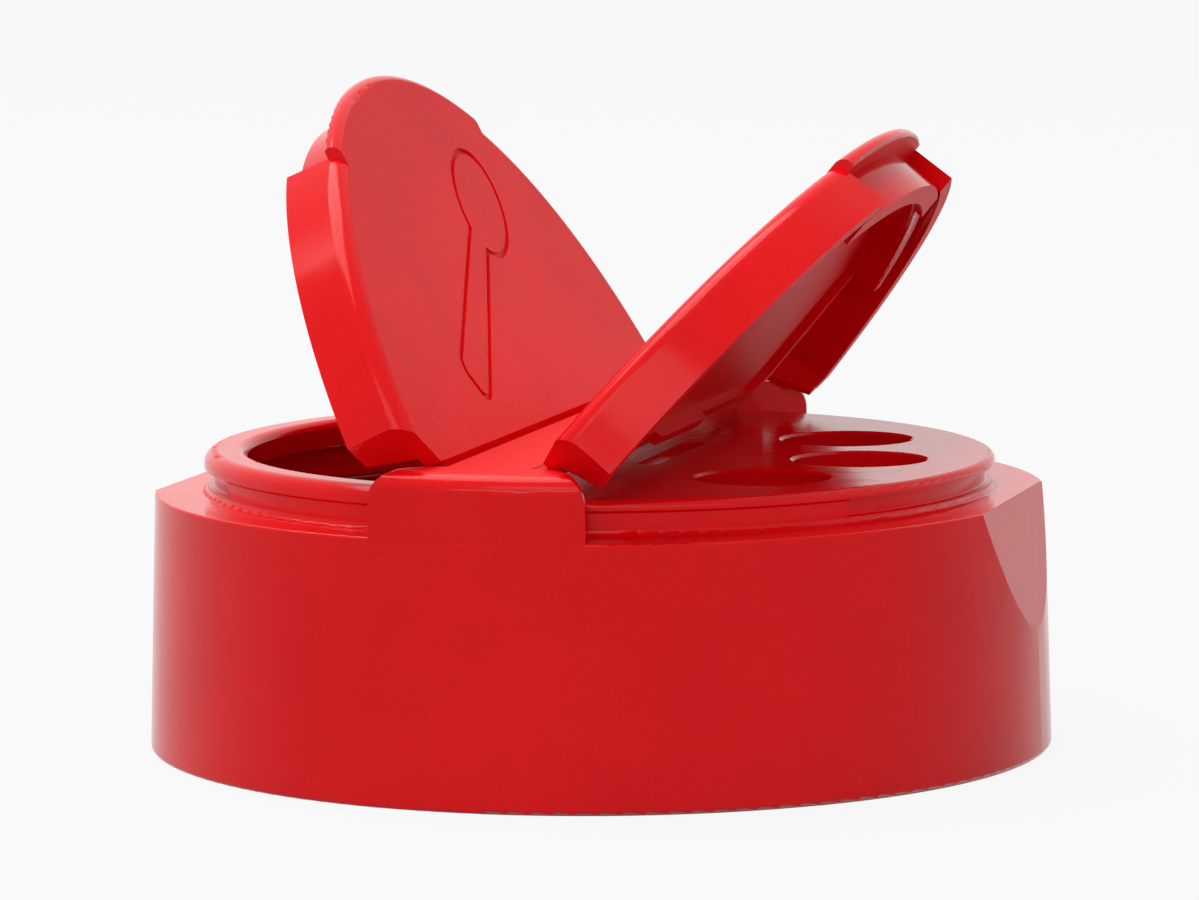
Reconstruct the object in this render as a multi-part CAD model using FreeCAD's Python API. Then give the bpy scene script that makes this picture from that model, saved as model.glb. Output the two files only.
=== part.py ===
import FreeCAD, Part
import math
import os

# Two-flap closure for a wide-mouth spice jar, moulded in polypropylene.
# Millimetres, +Z up. The origin is on the cap's axis at the bottom of the skirt.
# The centre bar runs along Y. The spoon flap opens on the -X side, the sift flap on the +X side.

V = FreeCAD.Vector
Z_AXIS = V(0, 0, 1)
Y_AXIS = V(0, 1, 0)

# ---- Skirt, which screws onto the jar ----
skirt_base_r = 33.0
skirt_top_r = 32.45
skirt_height = 18.8
skirt_base_round = 0.35
shoulder_round = 0.2
neck_bore_r = 31.4
neck_bore_top = 12.0
neck_lead_in = 0.6
upper_bore_r = 30.3
upper_bore_round = 0.8
bore_step_height = 0.8
panel_thickness = 1.5
seal_bead_r = 28.4
seal_bead_width = 0.8
seal_bead_height = 0.5
seal_bead_round = 0.2

# ---- Raised deck inside the flaps ----
deck_r = 28.85
deck_wall_r = 28.55
deck_height = 2.5
deck_lip_depth = 0.7
deck_lip_slope = 0.2
deck_edge_round = 0.55
deck_foot_round = 0.45
deck_thickness = 1.4
deck_wall_thickness = 1.5
deck_under_round = 0.4
snap_undercut_depth = 0.45
snap_undercut_half_angle = 37.0
snap_undercut_base = 0.5
snap_undercut_round = 0.15

# ---- Spoon opening and its rim, on the -X side ----
spoon_rim_rise = 0.55
spoon_rim_round = 1.0
spoon_hole_edge_round = 0.75
spoon_hole_r = 25.75
spoon_hole_flat_x = 5.2
spoon_hole_corner_r = 3.0

# ---- Sift holes, on the +X side ----
sift_hole_r = 4.8
sift_circle_r = 19.6
sift_hole_angles = (-38.5, -1.0, 36.5)
sift_hole_round = 0.2

# ---- Centre bar with its two end blocks ----
bar_height = 4.65
bar_half_width = 3.4
bar_wall = 1.1
hinge_half_length = 27.2
block_half_width = 7.8
block_corner_y = 31.4
block_side_round = 2.2
block_front_round = 1.3
block_wall = 1.4
core_end_wall = 0.5

# ---- Living hinges ----
pivot_x = 3.8
pivot_depth = 0.7
web_half_thickness = 0.25
web_clearance = 0.05
groove_half_width = 0.8
groove_overrun = 1.0
bar_seat_lip = 0.2

# ---- Flaps ----
flap_top_r = 32.15
flap_rim_r = 32.4
flap_edge_round = 1.25
flap_wall = 1.2
flap_panel = 1.2
flap_inner_round = 0.5
flap_rest_gap = 0.12
flap_end_gap = 0.35
flap_hinge_relief = 0.35
spoon_flap_angle = 62.5
sift_flap_angle = 50.0

# ---- Ribs under the flaps ----
rib_width = 0.9
snap_rib_gap = 0.3
snap_rib_depth = 4.0
snap_rib_round = 0.2
snap_bead_rise = 0.15
snap_bead_height = 0.6
snap_bead_half_angle = 33.0
rib_side_y = 24.5
rib_hinge_x = 5.0
rib_corner_r = 2.5
rib_deck_gap = 0.3
plug_gap = 0.4
plug_depth = 1.3

# ---- Tab in the middle of the sift flap's hinge-side rib, and its pocket ----
tab_half_length = 6.5
tab_depth = 0.55
tab_end_round = 0.5
pocket_clearance = 0.4
pocket_corner_r = 0.3

# ---- Thumb notches ----
spoon_notch_half_width = 16.5
sift_notch_half_width = 10.5
notch_depth = 1.3
lip_thickness = 1.15
lip_reach = 0.65
lip_root = 3.75
lip_top_round = 0.8
lip_under_round = 0.2
recess_depth = 1.6
recess_slope = 0.2
recess_crown_r = 100.0

# ---- Spoon sign on the spoon flap ----
sign_groove_width = 0.5
sign_groove_depth = 0.25
sign_bowl_x = 21.4
sign_bowl_y = -7.8
sign_bowl_half_length = 5.2
sign_bowl_half_width = 3.8
sign_angle = -58.8
sign_length = 29.5
sign_neck_half_width = 1.0
sign_handle_half_width = 2.0
sign_end_round = 1.2

# ---- Working values ----
overlap = 0.3       # how far joined shapes run into each other
overrun = 1.0       # how far cutting shapes run past what they cut
match = 0.001       # how near a line an edge has to lie to be taken as on it

# ---- Heights and radii that follow ----
deck_top = skirt_height + deck_height
deck_under = deck_top - deck_thickness
spoon_rim_top = deck_top + spoon_rim_rise
cap_top = skirt_height + bar_height
panel_under = skirt_height - panel_thickness
pivot_z = cap_top - pivot_depth
flap_rim_z = skirt_height + flap_rest_gap
flap_under = cap_top - flap_panel
deck_inner_r = deck_wall_r - deck_wall_thickness
snap_rib_r = deck_r + snap_rib_gap
snap_rib_outer_r = snap_rib_r + rib_width
snap_rib_bottom = cap_top - snap_rib_depth
rib_root = flap_under + overlap
notch_r = flap_top_r - notch_depth
recess_top_x = skirt_top_r - recess_depth
reach = 2 * skirt_base_r


def section_point(radius, height):
    return V(radius, 0, height)


def plan_point(x, y):
    return V(x, y, 0)


def side_point(y, height):
    return V(0, y, height)


def rounded_wire(corners, place):
    """Closed wire through corners given as (a, b, rounding radius)."""
    count = len(corners)
    starts = []
    edges = []
    for index in range(count):
        before = V(corners[index - 1][0], corners[index - 1][1], 0)
        here = V(corners[index][0], corners[index][1], 0)
        after = V(corners[(index + 1) % count][0], corners[(index + 1) % count][1], 0)
        radius = corners[index][2]
        if radius == 0:
            starts.append((here, here))
            continue
        back = (before - here).normalize()
        ahead = (after - here).normalize()
        half_angle = back.getAngle(ahead) / 2
        trim = radius / math.tan(half_angle)
        middle = here + (back + ahead).normalize() * (radius / math.sin(half_angle) - radius)
        first = here + back * trim
        last = here + ahead * trim
        starts.append((first, last))
        arc_points = [place(point.x, point.y) for point in (first, middle, last)]
        edges.append(Part.Arc(*arc_points).toShape())
    for index in range(count):
        tail = starts[index][1]
        head = starts[(index + 1) % count][0]
        if (head - tail).Length > match:
            edges.append(Part.makeLine(place(tail.x, tail.y), place(head.x, head.y)))
    return Part.Wire(Part.__sortEdges__(edges))


def turned(corners, start_angle=0.0, sweep=360.0):
    """Solid turned about the cap's axis from a section of (radius, height, rounding)."""
    face = Part.Face(rounded_wire(corners, section_point))
    face.rotate(V(0, 0, 0), Z_AXIS, start_angle)
    return face.revolve(V(0, 0, 0), Z_AXIS, sweep)


def raised(corners, bottom, top):
    """Prism raised from a plan outline of (x, y, rounding)."""
    face = Part.Face(rounded_wire(corners, plan_point))
    face.translate(V(0, 0, bottom))
    return face.extrude(V(0, 0, top - bottom))


def box(low, high):
    return Part.makeBox(high[0] - low[0], high[1] - low[1], high[2] - low[2], V(*low))


def disc(radius, bottom, top):
    return Part.makeCylinder(radius, top - bottom, V(0, 0, bottom))


def beyond_x(min_x):
    """Everything past a plane across the X axis."""
    return box((min_x, -reach, -overrun), (reach, reach, reach))


def edges_over(shape, height, outline):
    """Edges of a shape at a height that lie over an outline drawn at height zero."""
    found = []
    for edge in shape.Edges:
        bounds = edge.BoundBox
        if abs(bounds.ZMin - height) < match and abs(bounds.ZMax - height) < match:
            middle = edge.valueAt((edge.FirstParameter + edge.LastParameter) / 2)
            below = Part.Vertex(V(middle.x, middle.y, 0))
            if outline.distToShape(below)[0] < match:
                found.append(edge)
    return found


# ---- Cap body ----

def thumb_recess():
    """Sloping scoop in the skirt under a flap's lip, on the +X side."""
    slope_angle = math.degrees(math.atan(recess_slope))
    scoop = Part.makeCylinder(recess_crown_r, reach, V(0, 0, -reach / 2))
    slab = box((0, -reach / 2, -reach / 2), (reach / 2, reach / 2, reach / 2))
    scoop.translate(V(-recess_crown_r, 0, 0))
    cutter = slab.cut(scoop)
    cutter.rotate(V(0, 0, 0), Y_AXIS, -slope_angle)
    cutter.translate(V(recess_top_x, 0, skirt_height))
    return cutter


def block_outline(offset):
    """Plan of one end block at -Y, grown outwards by offset on its sloping sides."""
    run = block_half_width - bar_half_width
    rise = block_corner_y - hinge_half_length
    slant = math.hypot(run, rise)
    shift = offset * slant / rise
    far = rise + skirt_base_r - block_corner_y
    return [
        (bar_half_width + shift, -hinge_half_length, 0),
        (bar_half_width + shift + run, -block_corner_y, 0),
        (bar_half_width + shift + run, -hinge_half_length - far, 0),
        (-bar_half_width - shift - run, -hinge_half_length - far, 0),
        (-bar_half_width - shift - run, -block_corner_y, 0),
        (-bar_half_width - shift, -hinge_half_length, 0),
    ]


def end_block(offset, outer_r, bottom):
    """End block at -Y with rounded shoulders, cut to the skirt's round front."""
    top = cap_top + offset
    block = raised(block_outline(offset), bottom, top)
    half_width = block_half_width + offset
    width_profile = [
        (-half_width, bottom - overrun, 0),
        (half_width, bottom - overrun, 0),
        (half_width, top, block_side_round),
        (-half_width, top, block_side_round),
    ]
    arch = Part.Face(rounded_wire(width_profile, section_point)).extrude(V(0, -reach, 0))
    block = block.common(arch)
    front = turned([
        (0, bottom, 0),
        (outer_r, bottom, 0),
        (outer_r, top, block_front_round),
        (0, top, 0),
    ])
    return block.common(front)


def with_opposite(shape):
    """A shape together with its copy half a turn round the cap."""
    other = shape.copy()
    other.rotate(V(0, 0, 0), Z_AXIS, 180)
    return shape.fuse(other)


def bar_section():
    """+X half of the bar's section, with the hinge's seat at its upper corner."""
    seat_r = web_half_thickness + web_clearance
    middle = seat_r * math.sqrt(0.5)
    seat = Part.Arc(
        section_point(pivot_x, pivot_z - seat_r),
        section_point(pivot_x - middle, pivot_z - middle),
        section_point(pivot_x - seat_r, pivot_z),
    ).toShape()
    chain = [
        (pivot_x - seat_r, pivot_z),
        (pivot_x - groove_half_width, cap_top),
        (0, cap_top),
        (0, deck_under),
        (bar_half_width, deck_under),
        (bar_half_width, pivot_z - seat_r - 2 * bar_seat_lip),
        (pivot_x, pivot_z - seat_r - bar_seat_lip),
        (pivot_x, pivot_z - seat_r),
    ]
    edges = [seat]
    for start, end in zip(chain, chain[1:]):
        edges.append(Part.makeLine(section_point(*start), section_point(*end)))
    return Part.Face(Part.Wire(Part.__sortEdges__(edges)))


def centre_bar():
    half = bar_section().extrude(V(0, 2 * hinge_half_length, 0))
    half.translate(V(0, -hinge_half_length, 0))
    return with_opposite(half)


def hinge_groove():
    """Space above the +X hinge that the flap's edge turns through, run out past its ends."""
    half_length = hinge_half_length + groove_overrun
    outline = [
        (pivot_x - web_half_thickness - web_clearance, pivot_z, 0),
        (pivot_x + groove_half_width, pivot_z, 0),
        (pivot_x + groove_half_width, cap_top + overrun, 0),
        (pivot_x - groove_half_width, cap_top + overrun, 0),
        (pivot_x - groove_half_width, cap_top, 0),
    ]
    groove = Part.Face(rounded_wire(outline, section_point)).extrude(V(0, 2 * half_length, 0))
    groove.translate(V(0, -half_length, 0))
    return groove


def snap_undercut():
    """Groove under the deck's lip on the +X side, that a flap's rib snaps into."""
    inner_r = deck_wall_r - snap_undercut_depth
    bottom = skirt_height + snap_undercut_base
    top = deck_top - deck_lip_depth
    sweep = 2 * snap_undercut_half_angle
    corners = [
        (inner_r, bottom, snap_undercut_round),
        (deck_r + overrun, bottom, 0),
        (deck_r + overrun, top, 0),
        (inner_r, top, snap_undercut_round),
    ]
    return turned(corners, -snap_undercut_half_angle, sweep)


def spoon_hole_outline(inset):
    """D-shaped outline of the spoon opening on the -X side, taken in by inset."""
    radius = spoon_hole_r - inset
    corner_r = spoon_hole_corner_r - inset
    centre_x = -spoon_hole_flat_x - inset - corner_r
    centre = V(centre_x, math.sqrt((radius - corner_r) ** 2 - centre_x ** 2), 0)
    to_round = V(centre).normalize()
    to_flat = V(1, 0, 0)
    to_middle = (to_round + to_flat).normalize()
    corner = [centre + direction * corner_r for direction in (to_flat, to_middle, to_round)]
    other_corner = [V(point.x, -point.y, 0) for point in corner]
    return Part.Wire([
        Part.makeLine(other_corner[0], corner[0]),
        Part.Arc(*corner).toShape(),
        Part.Arc(corner[2], V(-radius, 0, 0), other_corner[2]).toShape(),
        Part.Arc(*reversed(other_corner)).toShape(),
    ])


def spoon_hole(inset, bottom, top):
    face = Part.Face(spoon_hole_outline(inset))
    face.translate(V(0, 0, bottom))
    return face.extrude(V(0, 0, top - bottom))


def spoon_rim():
    """Rounded rim around the spoon opening, standing above the rest of the deck."""
    base = deck_top - deck_lip_depth
    rim = disc(deck_r, base, spoon_rim_top).cut(beyond_x(-bar_half_width))
    rim = rim.cut(spoon_hole(0, base - overrun, spoon_rim_top + overrun))
    outer_edges = edges_over(rim, spoon_rim_top, Part.makeCircle(deck_r))
    rim = rim.makeFillet(spoon_rim_round, outer_edges)
    hole_edges = edges_over(rim, spoon_rim_top, spoon_hole_outline(0))
    return rim.makeFillet(spoon_hole_edge_round, hole_edges)


def sift_hole(angle):
    """Round hole in the deck with its upper edge broken."""
    flare_r = sift_hole_r + sift_hole_round
    hole = turned([
        (0, deck_under - overrun, 0),
        (sift_hole_r, deck_under - overrun, 0),
        (sift_hole_r, deck_top - sift_hole_round, 0),
        (flare_r, deck_top, 0),
        (flare_r, deck_top + overrun, 0),
        (0, deck_top + overrun, 0),
    ])
    hole.translate(V(sift_circle_r, 0, 0))
    hole.rotate(V(0, 0, 0), Z_AXIS, angle)
    return hole


def neck_cavity():
    """Space inside the skirt and under the deck."""
    step_top = neck_bore_top + bore_step_height
    return turned([
        (0, -overrun, 0),
        (neck_bore_r + neck_lead_in, -overrun, 0),
        (neck_bore_r + neck_lead_in, 0, 0),
        (neck_bore_r, neck_lead_in, 0),
        (neck_bore_r, neck_bore_top, 0),
        (upper_bore_r, step_top, 0),
        (upper_bore_r, panel_under, upper_bore_round),
        (deck_inner_r, panel_under, 0),
        (deck_inner_r, deck_under, deck_under_round),
        (0, deck_under, 0),
    ])


def seal_bead():
    """Ring under the panel that presses on the jar's lip."""
    half = seal_bead_width / 2
    bottom = panel_under - seal_bead_height
    return turned([
        (seal_bead_r - half, bottom, seal_bead_round),
        (seal_bead_r + half, bottom, seal_bead_round),
        (seal_bead_r + half, panel_under + overlap, 0),
        (seal_bead_r - half, panel_under + overlap, 0),
    ])


def bar_core():
    """Hollow under the bar and blocks, open to the inside of the cap."""
    half_width = bar_half_width - bar_wall
    half_length = deck_inner_r - core_end_wall
    low = (-half_width, -half_length, deck_under - overrun)
    high = (half_width, half_length, cap_top - block_wall)
    return box(low, high)


def tab_pocket():
    """Shallow pocket in the deck that clears the tab on the sift flap."""
    low_x = rib_hinge_x - pocket_clearance
    high_x = rib_hinge_x + rib_width + pocket_clearance
    half_length = tab_half_length + pocket_clearance
    bottom = deck_top + rib_deck_gap - tab_depth - pocket_clearance
    corners = [
        (low_x, -half_length, pocket_corner_r),
        (high_x, -half_length, pocket_corner_r),
        (high_x, half_length, pocket_corner_r),
        (low_x, half_length, pocket_corner_r),
    ]
    return raised(corners, bottom, deck_top + overrun)


def outer_shell():
    """Skirt and deck before anything is cut from them."""
    return turned([
        (0, 0, 0),
        (skirt_base_r, 0, skirt_base_round),
        (skirt_top_r, skirt_height, shoulder_round),
        (deck_wall_r, skirt_height, deck_foot_round),
        (deck_wall_r, deck_top - deck_lip_depth - deck_lip_slope, 0),
        (deck_r, deck_top - deck_lip_depth, 0),
        (deck_r, deck_top, deck_edge_round),
        (0, deck_top, 0),
    ])


def make_cap_body():
    body = outer_shell()
    body = body.cut(with_opposite(thumb_recess()))
    body = body.cut(with_opposite(snap_undercut()))
    body = body.cut(neck_cavity()).fuse(seal_bead())
    body = body.cut(spoon_hole(0, deck_under - overrun, deck_top + overrun))
    body = body.fuse(spoon_rim())
    body = body.fuse(centre_bar())
    body = body.fuse(with_opposite(end_block(0, skirt_top_r, skirt_height - panel_thickness / 2)))
    body = body.cut(bar_core())
    body = body.cut(with_opposite(hinge_groove()))
    body = body.cut(tab_pocket())
    for angle in sift_hole_angles:
        body = body.cut(sift_hole(angle))
    return body.removeSplitter()


# ---- Flaps, drawn closed on the +X side ----

def flap_blank(notch_half_width):
    """Domed half disc with a hollow underside, before its ends are cut."""
    outside = turned([
        (0, flap_rim_z, 0),
        (flap_rim_r, flap_rim_z, 0),
        (flap_top_r, cap_top, flap_edge_round),
        (0, cap_top, 0),
    ])
    lip_under = cap_top - lip_thickness
    lip = turned([
        (flap_top_r - lip_root, lip_under, 0),
        (flap_top_r + lip_reach, lip_under, lip_under_round),
        (flap_top_r + lip_reach, cap_top, lip_top_round),
        (flap_top_r - lip_root, cap_top, 0),
    ])
    notch_side = box((0, -notch_half_width, 0), (reach, notch_half_width, reach))
    outside = outside.fuse(lip.common(notch_side))
    notch = disc(reach, 0, lip_under).cut(disc(notch_r, -overrun, cap_top))
    outside = outside.cut(notch.common(notch_side))
    hollow = turned([
        (0, flap_rim_z - overrun, 0),
        (flap_rim_r - flap_wall, flap_rim_z - overrun, 0),
        (flap_top_r - flap_wall, flap_under, flap_inner_round),
        (0, flap_under, 0),
    ])
    return outside.cut(hollow.cut(notch_backing(notch_half_width + flap_wall)))


def notch_backing(half_width):
    """Wall behind the thumb notch, which steps inwards to keep its thickness."""
    ring = disc(notch_r, flap_rim_z, cap_top).cut(disc(snap_rib_r, 0, reach))
    return ring.common(box((0, -half_width, flap_rim_z), (reach, half_width, cap_top)))


def snap_rib():
    """Deep curved rib that passes outside the deck, with the bead that snaps under its lip."""
    half_angle = math.degrees(math.asin((rib_side_y - rib_width / 2) / snap_rib_outer_r))
    rib = turned([
        (snap_rib_r, snap_rib_bottom, snap_rib_round),
        (snap_rib_outer_r, snap_rib_bottom, snap_rib_round),
        (snap_rib_outer_r, rib_root, 0),
        (snap_rib_r, rib_root, 0),
    ], -half_angle, 2 * half_angle)
    bead_top = deck_top - deck_lip_depth - deck_lip_slope
    bead = turned([
        (snap_rib_r - snap_bead_rise, bead_top - snap_bead_height, 0),
        (snap_rib_r + overlap, bead_top - snap_bead_height, 0),
        (snap_rib_r + overlap, bead_top, 0),
        (snap_rib_r - snap_bead_rise, bead_top, 0),
    ], -snap_bead_half_angle, 2 * snap_bead_half_angle)
    return rib.fuse(bead)


def shallow_loop(inset, bottom, top):
    """Part disc that the shallow rib runs round, taken in by inset."""
    side_y = rib_side_y - inset
    low_x = rib_hinge_x + inset
    corner_r = rib_corner_r - inset
    slab = raised([
        (low_x, -side_y, corner_r),
        (reach, -side_y, 0),
        (reach, side_y, 0),
        (low_x, side_y, corner_r),
    ], bottom, top)
    return slab.common(disc(snap_rib_outer_r - inset, bottom, top))


def shallow_rib():
    """Rib that runs beside the hinge and over the deck to meet the snap rib."""
    bottom = deck_top + rib_deck_gap
    inside = shallow_loop(rib_width, bottom - overrun, rib_root + overrun)
    return shallow_loop(0, bottom, rib_root).cut(inside)


def hinge_tab():
    """Tab in the middle of the rib beside the hinge."""
    bottom = deck_top + rib_deck_gap - tab_depth
    outline = [
        (-tab_half_length, bottom, tab_end_round),
        (tab_half_length, bottom, tab_end_round),
        (tab_half_length, rib_root, 0),
        (-tab_half_length, rib_root, 0),
    ]
    face = Part.Face(rounded_wire(outline, side_point))
    face.translate(V(rib_hinge_x, 0, 0))
    return face.extrude(V(rib_width, 0, 0))


def plug_rib():
    """Loop that drops just inside the spoon opening."""
    bottom = spoon_rim_top - plug_depth
    inside = spoon_hole(plug_gap + rib_width, bottom - overrun, rib_root + overrun)
    loop = spoon_hole(plug_gap, bottom, rib_root).cut(inside)
    loop.rotate(V(0, 0, 0), Z_AXIS, 180)
    return loop


def hinge_edge():
    """Everything on the flap's side of its hinge line, ending in the round web."""
    web_r = web_half_thickness
    neck_x = pivot_x + groove_half_width * web_r / pivot_depth
    edge_x = pivot_x + groove_half_width
    outline = [
        (neck_x, pivot_z + web_r),
        (edge_x, cap_top),
        (edge_x, cap_top + overrun),
        (reach, cap_top + overrun),
        (reach, 0),
        (edge_x, 0),
        (edge_x, flap_under),
        (neck_x, pivot_z - web_r),
        (pivot_x, pivot_z - web_r),
    ]
    edges = [
        Part.Arc(
            section_point(pivot_x, pivot_z - web_r),
            section_point(pivot_x - web_r, pivot_z),
            section_point(pivot_x, pivot_z + web_r),
        ).toShape(),
        Part.makeLine(section_point(pivot_x, pivot_z + web_r), section_point(*outline[0])),
    ]
    for start, end in zip(outline, outline[1:]):
        edges.append(Part.makeLine(section_point(*start), section_point(*end)))
    face = Part.Face(Part.Wire(Part.__sortEdges__(edges)))
    kept = face.extrude(V(0, 2 * reach, 0))
    kept.translate(V(0, -reach, 0))
    return kept


def web_stock():
    """Block between the panel and the hinge line, from which the web is cut."""
    low = (pivot_x - overrun, -hinge_half_length, flap_under)
    high = (pivot_x + groove_half_width, hinge_half_length, cap_top)
    return box(low, high)


def end_clearance():
    """Room round the end blocks and past both ends of the web."""
    blocks = with_opposite(end_block(flap_end_gap, skirt_base_r + overrun, flap_rim_z - overrun))
    web_half_length = hinge_half_length - flap_hinge_relief
    low_end = box(
        (pivot_x - overrun, -reach, 0),
        (pivot_x + groove_half_width, -web_half_length, reach),
    )
    high_end = low_end.mirror(V(0, 0, 0), Y_AXIS)
    return blocks.fuse(low_end).fuse(high_end)


def spoon_sign():
    """Groove in the outline of a spoon, on top of the closed flap."""
    ring = spoon_figure(sign_groove_width / 2).cut(spoon_figure(-sign_groove_width / 2))
    ring.translate(V(0, 0, cap_top - sign_groove_depth))
    return ring


def spoon_figure(grow):
    """Spoon shape grown outwards by grow, with its bowl away from the hinge."""
    height = sign_groove_depth + overrun
    bowl_x = sign_length - sign_bowl_half_length
    ellipse = Part.Ellipse(V(0, 0, 0), sign_bowl_half_length + grow, sign_bowl_half_width + grow)
    bowl = Part.Face(Part.Wire(ellipse.toShape())).extrude(V(0, 0, height))
    bowl.translate(V(bowl_x, 0, 0))
    handle = raised([
        (-grow, -sign_handle_half_width - grow, sign_end_round + grow),
        (bowl_x, -sign_neck_half_width - grow, 0),
        (bowl_x, sign_neck_half_width + grow, 0),
        (-grow, sign_handle_half_width + grow, sign_end_round + grow),
    ], 0, height)
    spoon = bowl.fuse(handle).removeSplitter()
    spoon.translate(V(-bowl_x, 0, 0))
    spoon.rotate(V(0, 0, 0), Z_AXIS, sign_angle)
    spoon.translate(V(sign_bowl_x, sign_bowl_y, 0))
    return spoon


def closed_flap(notch_half_width, ribs):
    flap = flap_blank(notch_half_width)
    for rib in ribs:
        flap = flap.fuse(rib)
    flap = flap.fuse(web_stock())
    flap = flap.common(hinge_edge())
    return flap.cut(end_clearance())


def make_sift_flap():
    flap = closed_flap(sift_notch_half_width, [snap_rib(), shallow_rib(), hinge_tab()])
    flap.rotate(V(pivot_x, 0, pivot_z), Y_AXIS, -sift_flap_angle)
    return flap.removeSplitter()


def make_spoon_flap():
    flap = closed_flap(spoon_notch_half_width, [snap_rib(), plug_rib()])
    flap = flap.cut(spoon_sign())
    flap.rotate(V(pivot_x, 0, pivot_z), Y_AXIS, -spoon_flap_angle)
    flap.rotate(V(0, 0, 0), Z_AXIS, 180)
    return flap.removeSplitter()


os.makedirs("parts", exist_ok=True)
nodes = {
    "cap_body": make_cap_body(),
    "spoon_flap": make_spoon_flap(),
    "sift_flap": make_sift_flap(),
}
for name, shape in nodes.items():
    print(name, shape.isValid(), len(shape.Solids), round(shape.Volume, 1), shape.BoundBox)
    shape.exportStep("parts/" + name + ".step")
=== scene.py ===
import math
import bmesh
import bpy
from mathutils import Matrix, Vector


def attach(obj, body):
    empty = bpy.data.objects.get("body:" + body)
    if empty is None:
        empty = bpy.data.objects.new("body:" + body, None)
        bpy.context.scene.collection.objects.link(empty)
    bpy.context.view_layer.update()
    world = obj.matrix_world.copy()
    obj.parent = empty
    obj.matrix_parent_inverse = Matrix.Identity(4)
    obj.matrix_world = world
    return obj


# Looks of the two-flap spice jar cap: camera, light, red plastic and the fine moulded details.

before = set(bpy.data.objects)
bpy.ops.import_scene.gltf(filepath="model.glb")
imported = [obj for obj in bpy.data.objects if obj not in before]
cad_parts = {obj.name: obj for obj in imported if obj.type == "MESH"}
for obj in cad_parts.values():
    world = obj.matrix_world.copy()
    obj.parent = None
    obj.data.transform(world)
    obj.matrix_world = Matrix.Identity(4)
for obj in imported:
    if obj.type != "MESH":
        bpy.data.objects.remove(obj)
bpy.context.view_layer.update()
MM = 0.001
scene = bpy.context.scene
scene.view_settings.view_transform = "Standard"

# Sizes of the cap that the looks need, in millimetres
PIVOT_X = 3.8
PIVOT_Z = 22.75
CAP_TOP = 23.45
SPOON_FLAP_ANGLE = 62.5
SIFT_FLAP_ANGLE = 50.0
NECK_BORE_R = 31.4

# ---- Camera ----
CAMERA_DISTANCE = 488.0
CAMERA_AZIMUTH = 15.7
CAMERA_ELEVATION = 7.915
CAMERA_PITCH = 6.82
CAMERA_ROLL = -0.368
AIM_HEIGHT = 12.0
LENS = 200.0
SENSOR_WIDTH = 36.0
CLIP_START = 0.01
CLIP_END = 20.0


def make_camera():
    data = bpy.data.cameras.new("camera")
    data.lens = LENS
    data.sensor_width = SENSOR_WIDTH
    data.clip_start = CLIP_START
    data.clip_end = CLIP_END
    camera = bpy.data.objects.new("camera", data)
    scene.collection.objects.link(camera)
    azimuth = math.radians(CAMERA_AZIMUTH)
    elevation = math.radians(CAMERA_ELEVATION)
    level = CAMERA_DISTANCE * math.cos(elevation)
    place = Vector((level * math.sin(azimuth), -level * math.cos(azimuth),
                    AIM_HEIGHT + CAMERA_DISTANCE * math.sin(elevation))) * MM
    turn = Matrix.Rotation(azimuth, 4, "Z")
    tilt = Matrix.Rotation(math.radians(90.0 - CAMERA_PITCH), 4, "X")
    roll = Matrix.Rotation(math.radians(CAMERA_ROLL), 4, "Z")
    camera.matrix_world = Matrix.Translation(place) @ turn @ tilt @ roll
    scene.camera = camera


# ---- Material helpers ----
class Graph:
    """Short names for the shader nodes that a material uses."""

    def __init__(self, tree):
        self.tree = tree
        tree.nodes.clear()

    def node(self, kind, **settings):
        made = self.tree.nodes.new(kind)
        for name, value in settings.items():
            setattr(made, name, value)
        return made

    def link(self, source, target):
        self.tree.links.new(source, target)

    def put(self, socket, value):
        if isinstance(value, bpy.types.NodeSocket):
            self.link(value, socket)
        else:
            socket.default_value = value

    def math(self, operation, *values, clamp=False):
        made = self.node("ShaderNodeMath", operation=operation, use_clamp=clamp)
        for socket, value in zip(made.inputs, values):
            self.put(socket, value)
        return made.outputs[0]

    def dot(self, vector, direction):
        made = self.node("ShaderNodeVectorMath", operation="DOT_PRODUCT")
        self.put(made.inputs[0], vector)
        made.inputs[1].default_value = direction
        return made.outputs["Value"]

    def step(self, value, low, high):
        """0 below low, 1 above high, smooth between."""
        made = self.node("ShaderNodeMapRange", interpolation_type="SMOOTHSTEP")
        self.put(made.inputs["Value"], value)
        made.inputs["From Min"].default_value = low
        made.inputs["From Max"].default_value = high
        return made.outputs["Result"]

    def span(self, value, low, high):
        """Value from 0..1 spread from low to high."""
        made = self.node("ShaderNodeMapRange")
        self.put(made.inputs["Value"], value)
        made.inputs["To Min"].default_value = low
        made.inputs["To Max"].default_value = high
        return made.outputs["Result"]

    def noise(self, vector, size_mm, detail=2.0, roughness=0.5, distortion=0.0):
        made = self.node("ShaderNodeTexNoise")
        self.put(made.inputs["Vector"], vector)
        made.inputs["Scale"].default_value = 1.0 / (size_mm * MM)
        made.inputs["Detail"].default_value = detail
        made.inputs["Roughness"].default_value = roughness
        made.inputs["Distortion"].default_value = distortion
        return made.outputs["Fac"]

    def mix(self, share, first, second):
        made = self.node("ShaderNodeMix", data_type="FLOAT")
        self.put(made.inputs[0], share)
        self.put(made.inputs[2], first)
        self.put(made.inputs[3], second)
        return made.outputs[0]

    def mix_colour(self, share, first, second):
        made = self.node("ShaderNodeMix", data_type="RGBA")
        self.put(made.inputs[0], share)
        self.put(made.inputs[6], first)
        self.put(made.inputs[7], second)
        return made.outputs[2]


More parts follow.
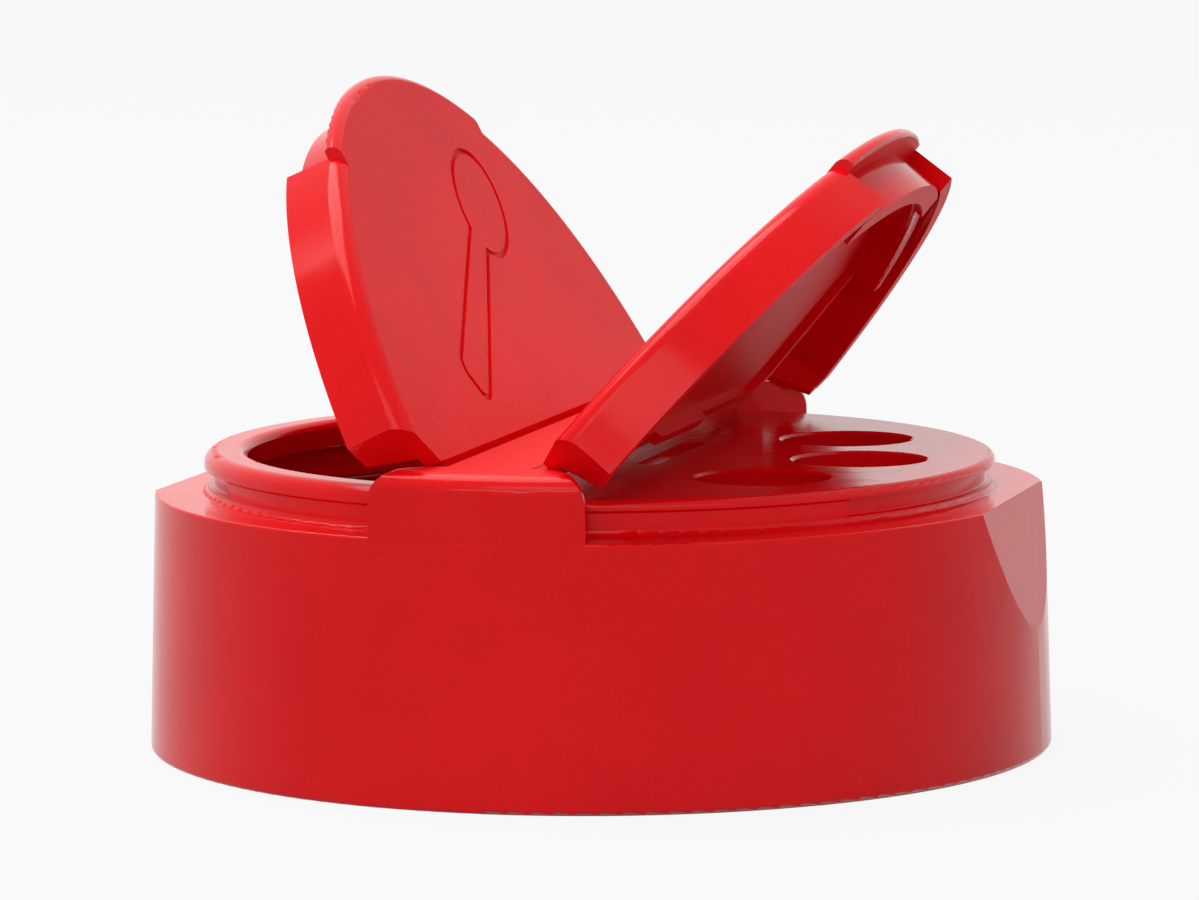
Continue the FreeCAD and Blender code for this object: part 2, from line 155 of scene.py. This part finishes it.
# ---- Red polypropylene ----
RED = (0.80, 0.003, 0.006, 1.0)
RED_DEEP = (0.71, 0.0016, 0.0045, 1.0)
CLOUD_SIZE = 9.0            # soft patches of deeper red, in millimetres like the next three
FLOW_SIZE = 3.2             # slow waves of the moulded skin
GRAIN_SIZE = 0.28           # fine grain
SPECK_SIZE = 0.16           # texture of the matte faces
CLOUD_SHARE = 0.6
GRAIN_SHARE = 0.4
FLOW_HEIGHT = 0.020
SPECK_HEIGHT = 0.018
GLOSS_ROUGHNESS = 0.14
MATTE_ROUGHNESS = 0.5
PLASTIC_IOR = 1.49
PLASTIC_SPECULAR = 0.16
MATTE_FACING = (0.93, 0.99)  # how squarely a flap's skin faces along its panel, from bright to matte
BAR_TOP_FADE = (0.12, 0.02)  # depth under the bar's top over which the skin turns matte


def plastic(name, matte_mask):
    """Red polypropylene. matte_mask(graph, position, normal) says where the mould was textured."""
    material = bpy.data.materials.new(name)
    material.use_nodes = True
    g = Graph(material.node_tree)
    coords = g.node("ShaderNodeTexCoord")
    position = coords.outputs["Object"]
    normal = coords.outputs["Normal"]
    matte = matte_mask(g, position, normal)
    cloud = g.noise(position, CLOUD_SIZE, detail=3.0)
    grain = g.noise(position, GRAIN_SIZE, detail=2.0, roughness=0.6)
    speck = g.step(g.noise(position, SPECK_SIZE, detail=1.0), 0.30, 0.62)
    flow = g.noise(position, FLOW_SIZE, detail=4.0, distortion=0.6)

    shade = g.math("ADD", g.math("MULTIPLY", cloud, CLOUD_SHARE), g.math("MULTIPLY", grain, GRAIN_SHARE))
    base = g.mix_colour(g.step(shade, 0.30, 0.70), RED_DEEP, RED)
    gloss = g.math("ADD", g.span(flow, -0.03, 0.04), GLOSS_ROUGHNESS)
    dull = g.math("ADD", g.span(grain, -0.06, 0.06), MATTE_ROUGHNESS)
    roughness = g.mix(matte, gloss, dull)

    height = g.math("ADD", g.math("MULTIPLY", flow, FLOW_HEIGHT),
                    g.math("MULTIPLY", g.math("MULTIPLY", matte, speck), SPECK_HEIGHT))
    bump = g.node("ShaderNodeBump")
    bump.inputs["Strength"].default_value = 1.0
    bump.inputs["Distance"].default_value = MM
    g.put(bump.inputs["Height"], height)

    shader = g.node("ShaderNodeBsdfPrincipled")
    g.put(shader.inputs["Base Color"], base)
    g.put(shader.inputs["Roughness"], roughness)
    g.put(shader.inputs["Normal"], bump.outputs["Normal"])
    shader.inputs["IOR"].default_value = PLASTIC_IOR
    shader.inputs["Specular IOR Level"].default_value = PLASTIC_SPECULAR
    out = g.node("ShaderNodeOutputMaterial")
    g.link(shader.outputs[0], out.inputs["Surface"])
    return material


def flap_mask(side, angle_deg):
    """The flat faces of a flap, on both sides, came from a textured mould."""
    angle = math.radians(angle_deg)
    up = (-side * math.sin(angle), 0.0, math.cos(angle))

    def mask(g, position, normal):
        return g.step(g.math("ABSOLUTE", g.dot(normal, up)), *MATTE_FACING)

    return mask


def body_mask(g, position, normal):
    """The bar's top came from a textured mould; the deck and the skirt are bright."""
    height = g.dot(position, (0.0, 0.0, 1.0))
    return g.step(height, *((CAP_TOP - depth) * MM for depth in BAR_TOP_FADE))


def closed_piece(name, points, faces):
    """Object from points and faces that close round it, with the faces turned outwards."""
    mesh = bpy.data.meshes.new(name)
    mesh.from_pydata(points, [], faces)
    turned = bmesh.new()
    turned.from_mesh(mesh)
    bmesh.ops.recalc_face_normals(turned, faces=turned.faces)
    turned.to_mesh(mesh)
    turned.free()
    piece = bpy.data.objects.new(name, mesh)
    scene.collection.objects.link(piece)
    return piece


# ---- Neck thread inside the skirt, in millimetres apart from the counts and shares ----
THREAD_PITCH = 5.08
THREAD_START_Z = 3.4
THREAD_TURNS = 1.35
THREAD_DEPTH = 1.05
THREAD_ROOT_HALF = 0.95
THREAD_CREST_HALF = 0.35
THREAD_EMBED = 0.15
THREAD_STEPS = 216
THREAD_RUNOUT = 0.07       # share of its length over which each end fades out


def make_thread():
    """Right-handed ridge up the bore, fading out at both ends."""
    points = []
    faces = []
    for index in range(THREAD_STEPS + 1):
        share = index / THREAD_STEPS
        turn = 2 * math.pi * THREAD_TURNS * share
        height = THREAD_START_Z + THREAD_PITCH * THREAD_TURNS * share
        rise = min(1.0, share / THREAD_RUNOUT, (1.0 - share) / THREAD_RUNOUT)
        crest_r = NECK_BORE_R - THREAD_DEPTH * rise
        root_r = NECK_BORE_R + THREAD_EMBED
        section = ((root_r, -THREAD_ROOT_HALF), (crest_r, -THREAD_CREST_HALF),
                   (crest_r, THREAD_CREST_HALF), (root_r, THREAD_ROOT_HALF))
        for radius, lift in section:
            points.append((radius * math.cos(turn) * MM, radius * math.sin(turn) * MM, (height + lift) * MM))
    corners = len(section)
    for index in range(THREAD_STEPS):
        first = index * corners
        for corner in range(corners):
            after = (corner + 1) % corners
            faces.append((first + corner, first + after,
                          first + corners + after, first + corners + corner))
    faces.append((3, 2, 1, 0))
    last = THREAD_STEPS * corners
    faces.append((last, last + 1, last + 2, last + 3))
    return closed_piece("neck_thread", points, faces)


# ---- End walls of the flaps, along the slanting cut beside the blocks ----
END_LINE_X = 3.907
END_LINE_Y = 27.2
END_LINE_SLOPE = 0.955
END_WALL_THICKNESS = 0.8
END_WALL_SINK = 0.03
END_WALL_START_X = 5.4
END_WALL_FOOT_X = 6.5
END_WALL_STOP_X = 7.6
END_WALL_ROOT_Z = 22.6
END_WALL_UNDER_Z = 22.25
END_WALL_RIM_Z = 18.95


def opened(point, side, angle_deg):
    """Place in metres of a point of a closed flap on the +X side, once that flap is open."""
    angle = math.radians(angle_deg)
    out = point[0] - PIVOT_X
    up = point[2] - PIVOT_Z
    x = PIVOT_X + out * math.cos(angle) - up * math.sin(angle)
    z = PIVOT_Z + out * math.sin(angle) + up * math.cos(angle)
    return (side * x * MM, side * point[1] * MM, z * MM)


def make_end_wall(name, side, angle_deg, end):
    """Wall that closes one end of a flap and rises to clear the deck's lip."""
    slant = math.hypot(1.0, END_LINE_SLOPE)
    profile = ((END_WALL_START_X, END_WALL_ROOT_Z), (END_WALL_START_X, END_WALL_UNDER_Z),
               (END_WALL_FOOT_X, END_WALL_RIM_Z), (END_WALL_STOP_X, END_WALL_RIM_Z),
               (END_WALL_STOP_X, END_WALL_ROOT_Z))
    points = []
    for inset in (END_WALL_SINK, END_WALL_SINK + END_WALL_THICKNESS):
        for x, z in profile:
            y = END_LINE_Y + END_LINE_SLOPE * (x - END_LINE_X)
            inner_x = x + inset * END_LINE_SLOPE / slant
            inner_y = y - inset / slant
            points.append(opened((inner_x, end * inner_y, z), side, angle_deg))
    count = len(profile)
    faces = [tuple(range(count)), tuple(range(2 * count - 1, count - 1, -1))]
    for index in range(count):
        after = (index + 1) % count
        faces.append((index, index + count, after + count, after))
    return closed_piece(name, points, faces)


# ---- Stage ----
ROOM_STRENGTH = 0.44
WHITE = (1.0, 1.0, 1.0, 1.0)
FLOOR_HALF = 3.0
FLOOR_GREY = (0.42, 0.42, 0.42, 1.0)
FLOOR_GLOW_SHARE = 0.9
LAMP_AIM = (0.0, 0.0, 0.02)
# Name, place, width and height in metres, power in watts
LAMPS = (
    ("front_strip", (0.25, -1.0, 0.34), 1.5, 0.08, 2.4),
    ("front_fill", (0.1, -1.2, 0.9), 0.9, 0.5, 3.2),
    ("top_box", (-0.3, 0.1, 1.0), 0.8, 0.8, 9.0),
)


def background_share(g, path):
    """1 for the rays that show the background directly, mirrored or through something clear."""
    mirrored = g.math("ADD", path.outputs["Is Camera Ray"], path.outputs["Is Glossy Ray"], clamp=True)
    return g.math("ADD", mirrored, path.outputs["Is Transmission Ray"], clamp=True)


def make_floor():
    mesh = bpy.data.meshes.new("floor")
    corners = [(-FLOOR_HALF, -FLOOR_HALF, 0), (FLOOR_HALF, -FLOOR_HALF, 0),
               (FLOOR_HALF, FLOOR_HALF, 0), (-FLOOR_HALF, FLOOR_HALF, 0)]
    mesh.from_pydata(corners, [], [(0, 1, 2, 3)])
    floor = bpy.data.objects.new("floor", mesh)
    scene.collection.objects.link(floor)
    material = bpy.data.materials.new("floor_white")
    material.use_nodes = True
    g = Graph(material.node_tree)
    path = g.node("ShaderNodeLightPath")
    diffuse = g.node("ShaderNodeBsdfDiffuse")
    diffuse.inputs["Color"].default_value = FLOOR_GREY
    glow = g.node("ShaderNodeEmission")
    glow.inputs["Color"].default_value = WHITE
    mixed = g.node("ShaderNodeMixShader")
    g.link(g.math("MULTIPLY", background_share(g, path), FLOOR_GLOW_SHARE), mixed.inputs[0])
    g.link(diffuse.outputs[0], mixed.inputs[1])
    g.link(glow.outputs[0], mixed.inputs[2])
    out = g.node("ShaderNodeOutputMaterial")
    g.link(mixed.outputs[0], out.inputs["Surface"])
    mesh.materials.append(material)


def make_world():
    world = bpy.data.worlds.new("world")
    scene.world = world
    world.use_nodes = True
    g = Graph(world.node_tree)
    path = g.node("ShaderNodeLightPath")
    white = g.node("ShaderNodeBackground")
    white.inputs["Color"].default_value = WHITE
    white.inputs["Strength"].default_value = 1.0
    room = g.node("ShaderNodeBackground")
    room.inputs["Color"].default_value = WHITE
    room.inputs["Strength"].default_value = ROOM_STRENGTH
    mixed = g.node("ShaderNodeMixShader")
    g.link(background_share(g, path), mixed.inputs[0])
    g.link(room.outputs[0], mixed.inputs[1])
    g.link(white.outputs[0], mixed.inputs[2])
    out = g.node("ShaderNodeOutputWorld")
    g.link(mixed.outputs[0], out.inputs["Surface"])


def softbox(name, place, width, height, power):
    data = bpy.data.lights.new(name, "AREA")
    data.shape = "RECTANGLE"
    data.size = width
    data.size_y = height
    data.energy = power
    lamp = bpy.data.objects.new(name, data)
    lamp.location = place
    lamp.rotation_mode = "QUATERNION"
    lamp.rotation_quaternion = (Vector(LAMP_AIM) - Vector(place)).to_track_quat("-Z", "Y")
    scene.collection.objects.link(lamp)


make_camera()
make_world()
make_floor()
for lamp_settings in LAMPS:
    softbox(*lamp_settings)

red_body = plastic("red_body", body_mask)
red_spoon_flap = plastic("red_spoon_flap", flap_mask(-1, SPOON_FLAP_ANGLE))
red_sift_flap = plastic("red_sift_flap", flap_mask(1, SIFT_FLAP_ANGLE))
node_materials = {"cap_body": red_body, "spoon_flap": red_spoon_flap, "sift_flap": red_sift_flap}
for node_name, material in node_materials.items():
    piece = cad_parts[node_name]
    piece.data.materials.clear()
    piece.data.materials.append(material)

for body, side, angle, material in (("spoon_flap", -1, SPOON_FLAP_ANGLE, red_spoon_flap),
                                    ("sift_flap", 1, SIFT_FLAP_ANGLE, red_sift_flap)):
    for label, end in (("low", -1), ("high", 1)):
        wall = make_end_wall(body + "_end_wall_" + label, side, angle, end)
        wall.data.materials.append(material)
        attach(wall, body)

thread = make_thread()
thread.data.materials.append(red_body)
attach(thread, "cap_body")
